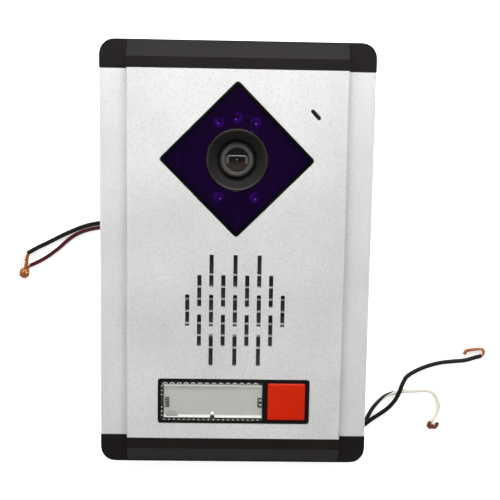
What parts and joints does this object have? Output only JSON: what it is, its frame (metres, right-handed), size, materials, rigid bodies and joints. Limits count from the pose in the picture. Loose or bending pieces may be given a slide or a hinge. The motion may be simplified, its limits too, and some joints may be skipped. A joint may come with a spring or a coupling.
{
  "type": "wired video door station",
  "caption": "Wall-mounted wired door station with tinted camera window, speaker grille, lit name plate, call button and flying wires.",
  "frame": {"origin": "centre of the wall bracket's back face, under the middle of the housing", "axes": "+Z out of the front of the station, +Y towards its top end, +X to the right seen from the front"},
  "size_m": [0.2287, 0.188, 0.039],
  "materials": {
    "anodised_aluminium": "fine blasted, anodised",
    "cap_plastic": "fine moulded texture, brown-black",
    "zinc_screw": "zinc plated",
    "rear_plastic": "moulded black",
    "gasket_rubber": "matt",
    "bracket_steel": "zinc plated sheet",
    "circuit_board": "green solder mask",
    "black_board": "black solder mask",
    "terminal_plastic": "moulded green",
    "trimmer_blue": "moulded blue",
    "rotor_white": "moulded off-white",
    "black_gasket": "smooth black",
    "tinted_window": "polished deep violet tint",
    "lens_black": "satin black",
    "lens_glass": "coated glass",
    "sensor_glass": "polished",
    "lamp_clear": "clear resin, violet behind the window",
    "sensor_resin": "clear resin",
    "insert_silver": "bright ribs",
    "dust_cloth": "fine dark mesh",
    "speaker_steel": "pressed steel",
    "cone_paper": "black paper",
    "module_black": "moulded black",
    "clear_cover": "clear moulded cover",
    "frosted_card": "frosted film",
    "light_guide": "milky acrylic",
    "orange_button": "translucent orange-red",
    "spring_steel": "drawn wire",
    "black_insulation": "smooth PVC",
    "red_insulation": "smooth wine-red PVC",
    "white_insulation": "smooth cream PVC",
    "bare_copper": "bare stranded copper"
  },
  "bodies": {
    "station": {"housing_profile": "anodised_aluminium", "top_end_cap": "cap_plastic", "bottom_end_cap": "cap_plastic", "cap_screw_top_left": "zinc_screw", "cap_screw_top_right": "zinc_screw", "cap_screw_bottom_left": "zinc_screw", "cap_screw_bottom_right": "zinc_screw", "rear_cover": "rear_plastic", "rear_gasket": "gasket_rubber", "cover_screw_top_left": "zinc_screw", "cover_screw_top_right": "zinc_screw", "cover_screw_bottom_left": "zinc_screw", "cover_screw_bottom_right": "zinc_screw", "wall_bracket": "bracket_steel", "security_screw": "zinc_screw", "main_board": "circuit_board", "terminal_block_left": "terminal_plastic", "terminal_block_right": "terminal_plastic", "volume_trimmer": "trimmer_blue", "camera_bezel": "black_gasket", "camera_window": "tinted_window", "lens_shroud": "lens_black", "lens_barrel": "lens_black", "lens_glass": "lens_glass", "lens_holder": "lens_black", "image_sensor": "sensor_glass", "camera_board": "circuit_board", "camera_carrier": "lens_black", "ir_board": "black_board", "ir_led_1": "lamp_clear", "ir_led_2": "lamp_clear", "ir_led_3": "lamp_clear", "ir_led_4": "lamp_clear", "ir_led_5": "lamp_clear", "light_sensor": "sensor_resin", "grille_insert": "insert_silver", "speaker_mesh": "dust_cloth", "speaker_frame": "speaker_steel", "speaker_cone": "cone_paper", "speaker_magnet": "speaker_steel", "speaker_lead": "red_insulation", "microphone_boot": "gasket_rubber", "microphone_capsule": "zinc_screw", "call_module_frame": "module_black", "name_window": "clear_cover", "name_card": "frosted_card", "name_light_guide": "light_guide", "call_board": "circuit_board", "button_switch": "module_black", "button_return_spring": "spring_steel", "wire_left_black": "black_insulation", "wire_left_red": "red_insulation", "wire_left_splice": "bare_copper", "wire_right_black": "black_insulation", "wire_right_white": "white_insulation", "strands_right_black": "bare_copper", "strands_right_white": "bare_copper"},
    "call_button": {"call_button": "orange_button", "button_plunger": "rotor_white"},
    "trimmer_rotor": {"volume_trimmer_rotor": "rotor_white"}
  },
  "joints": [
    {"name": "call_button_press", "type": "slide", "parent": "station", "child": "call_button", "axis": [0, 0, -1], "range_m": [0, 0.0012], "stiffness_N_per_m": 900, "springref_m": -0.0012, "deforming": ["button_return_spring"]},
    {"name": "volume_trimmer_turn", "type": "hinge", "parent": "station", "child": "trimmer_rotor", "pos_m": [0.028, 0.046, 0.0103], "axis": [0, 0, -1], "range_deg": [-130, 130]}
  ]
}
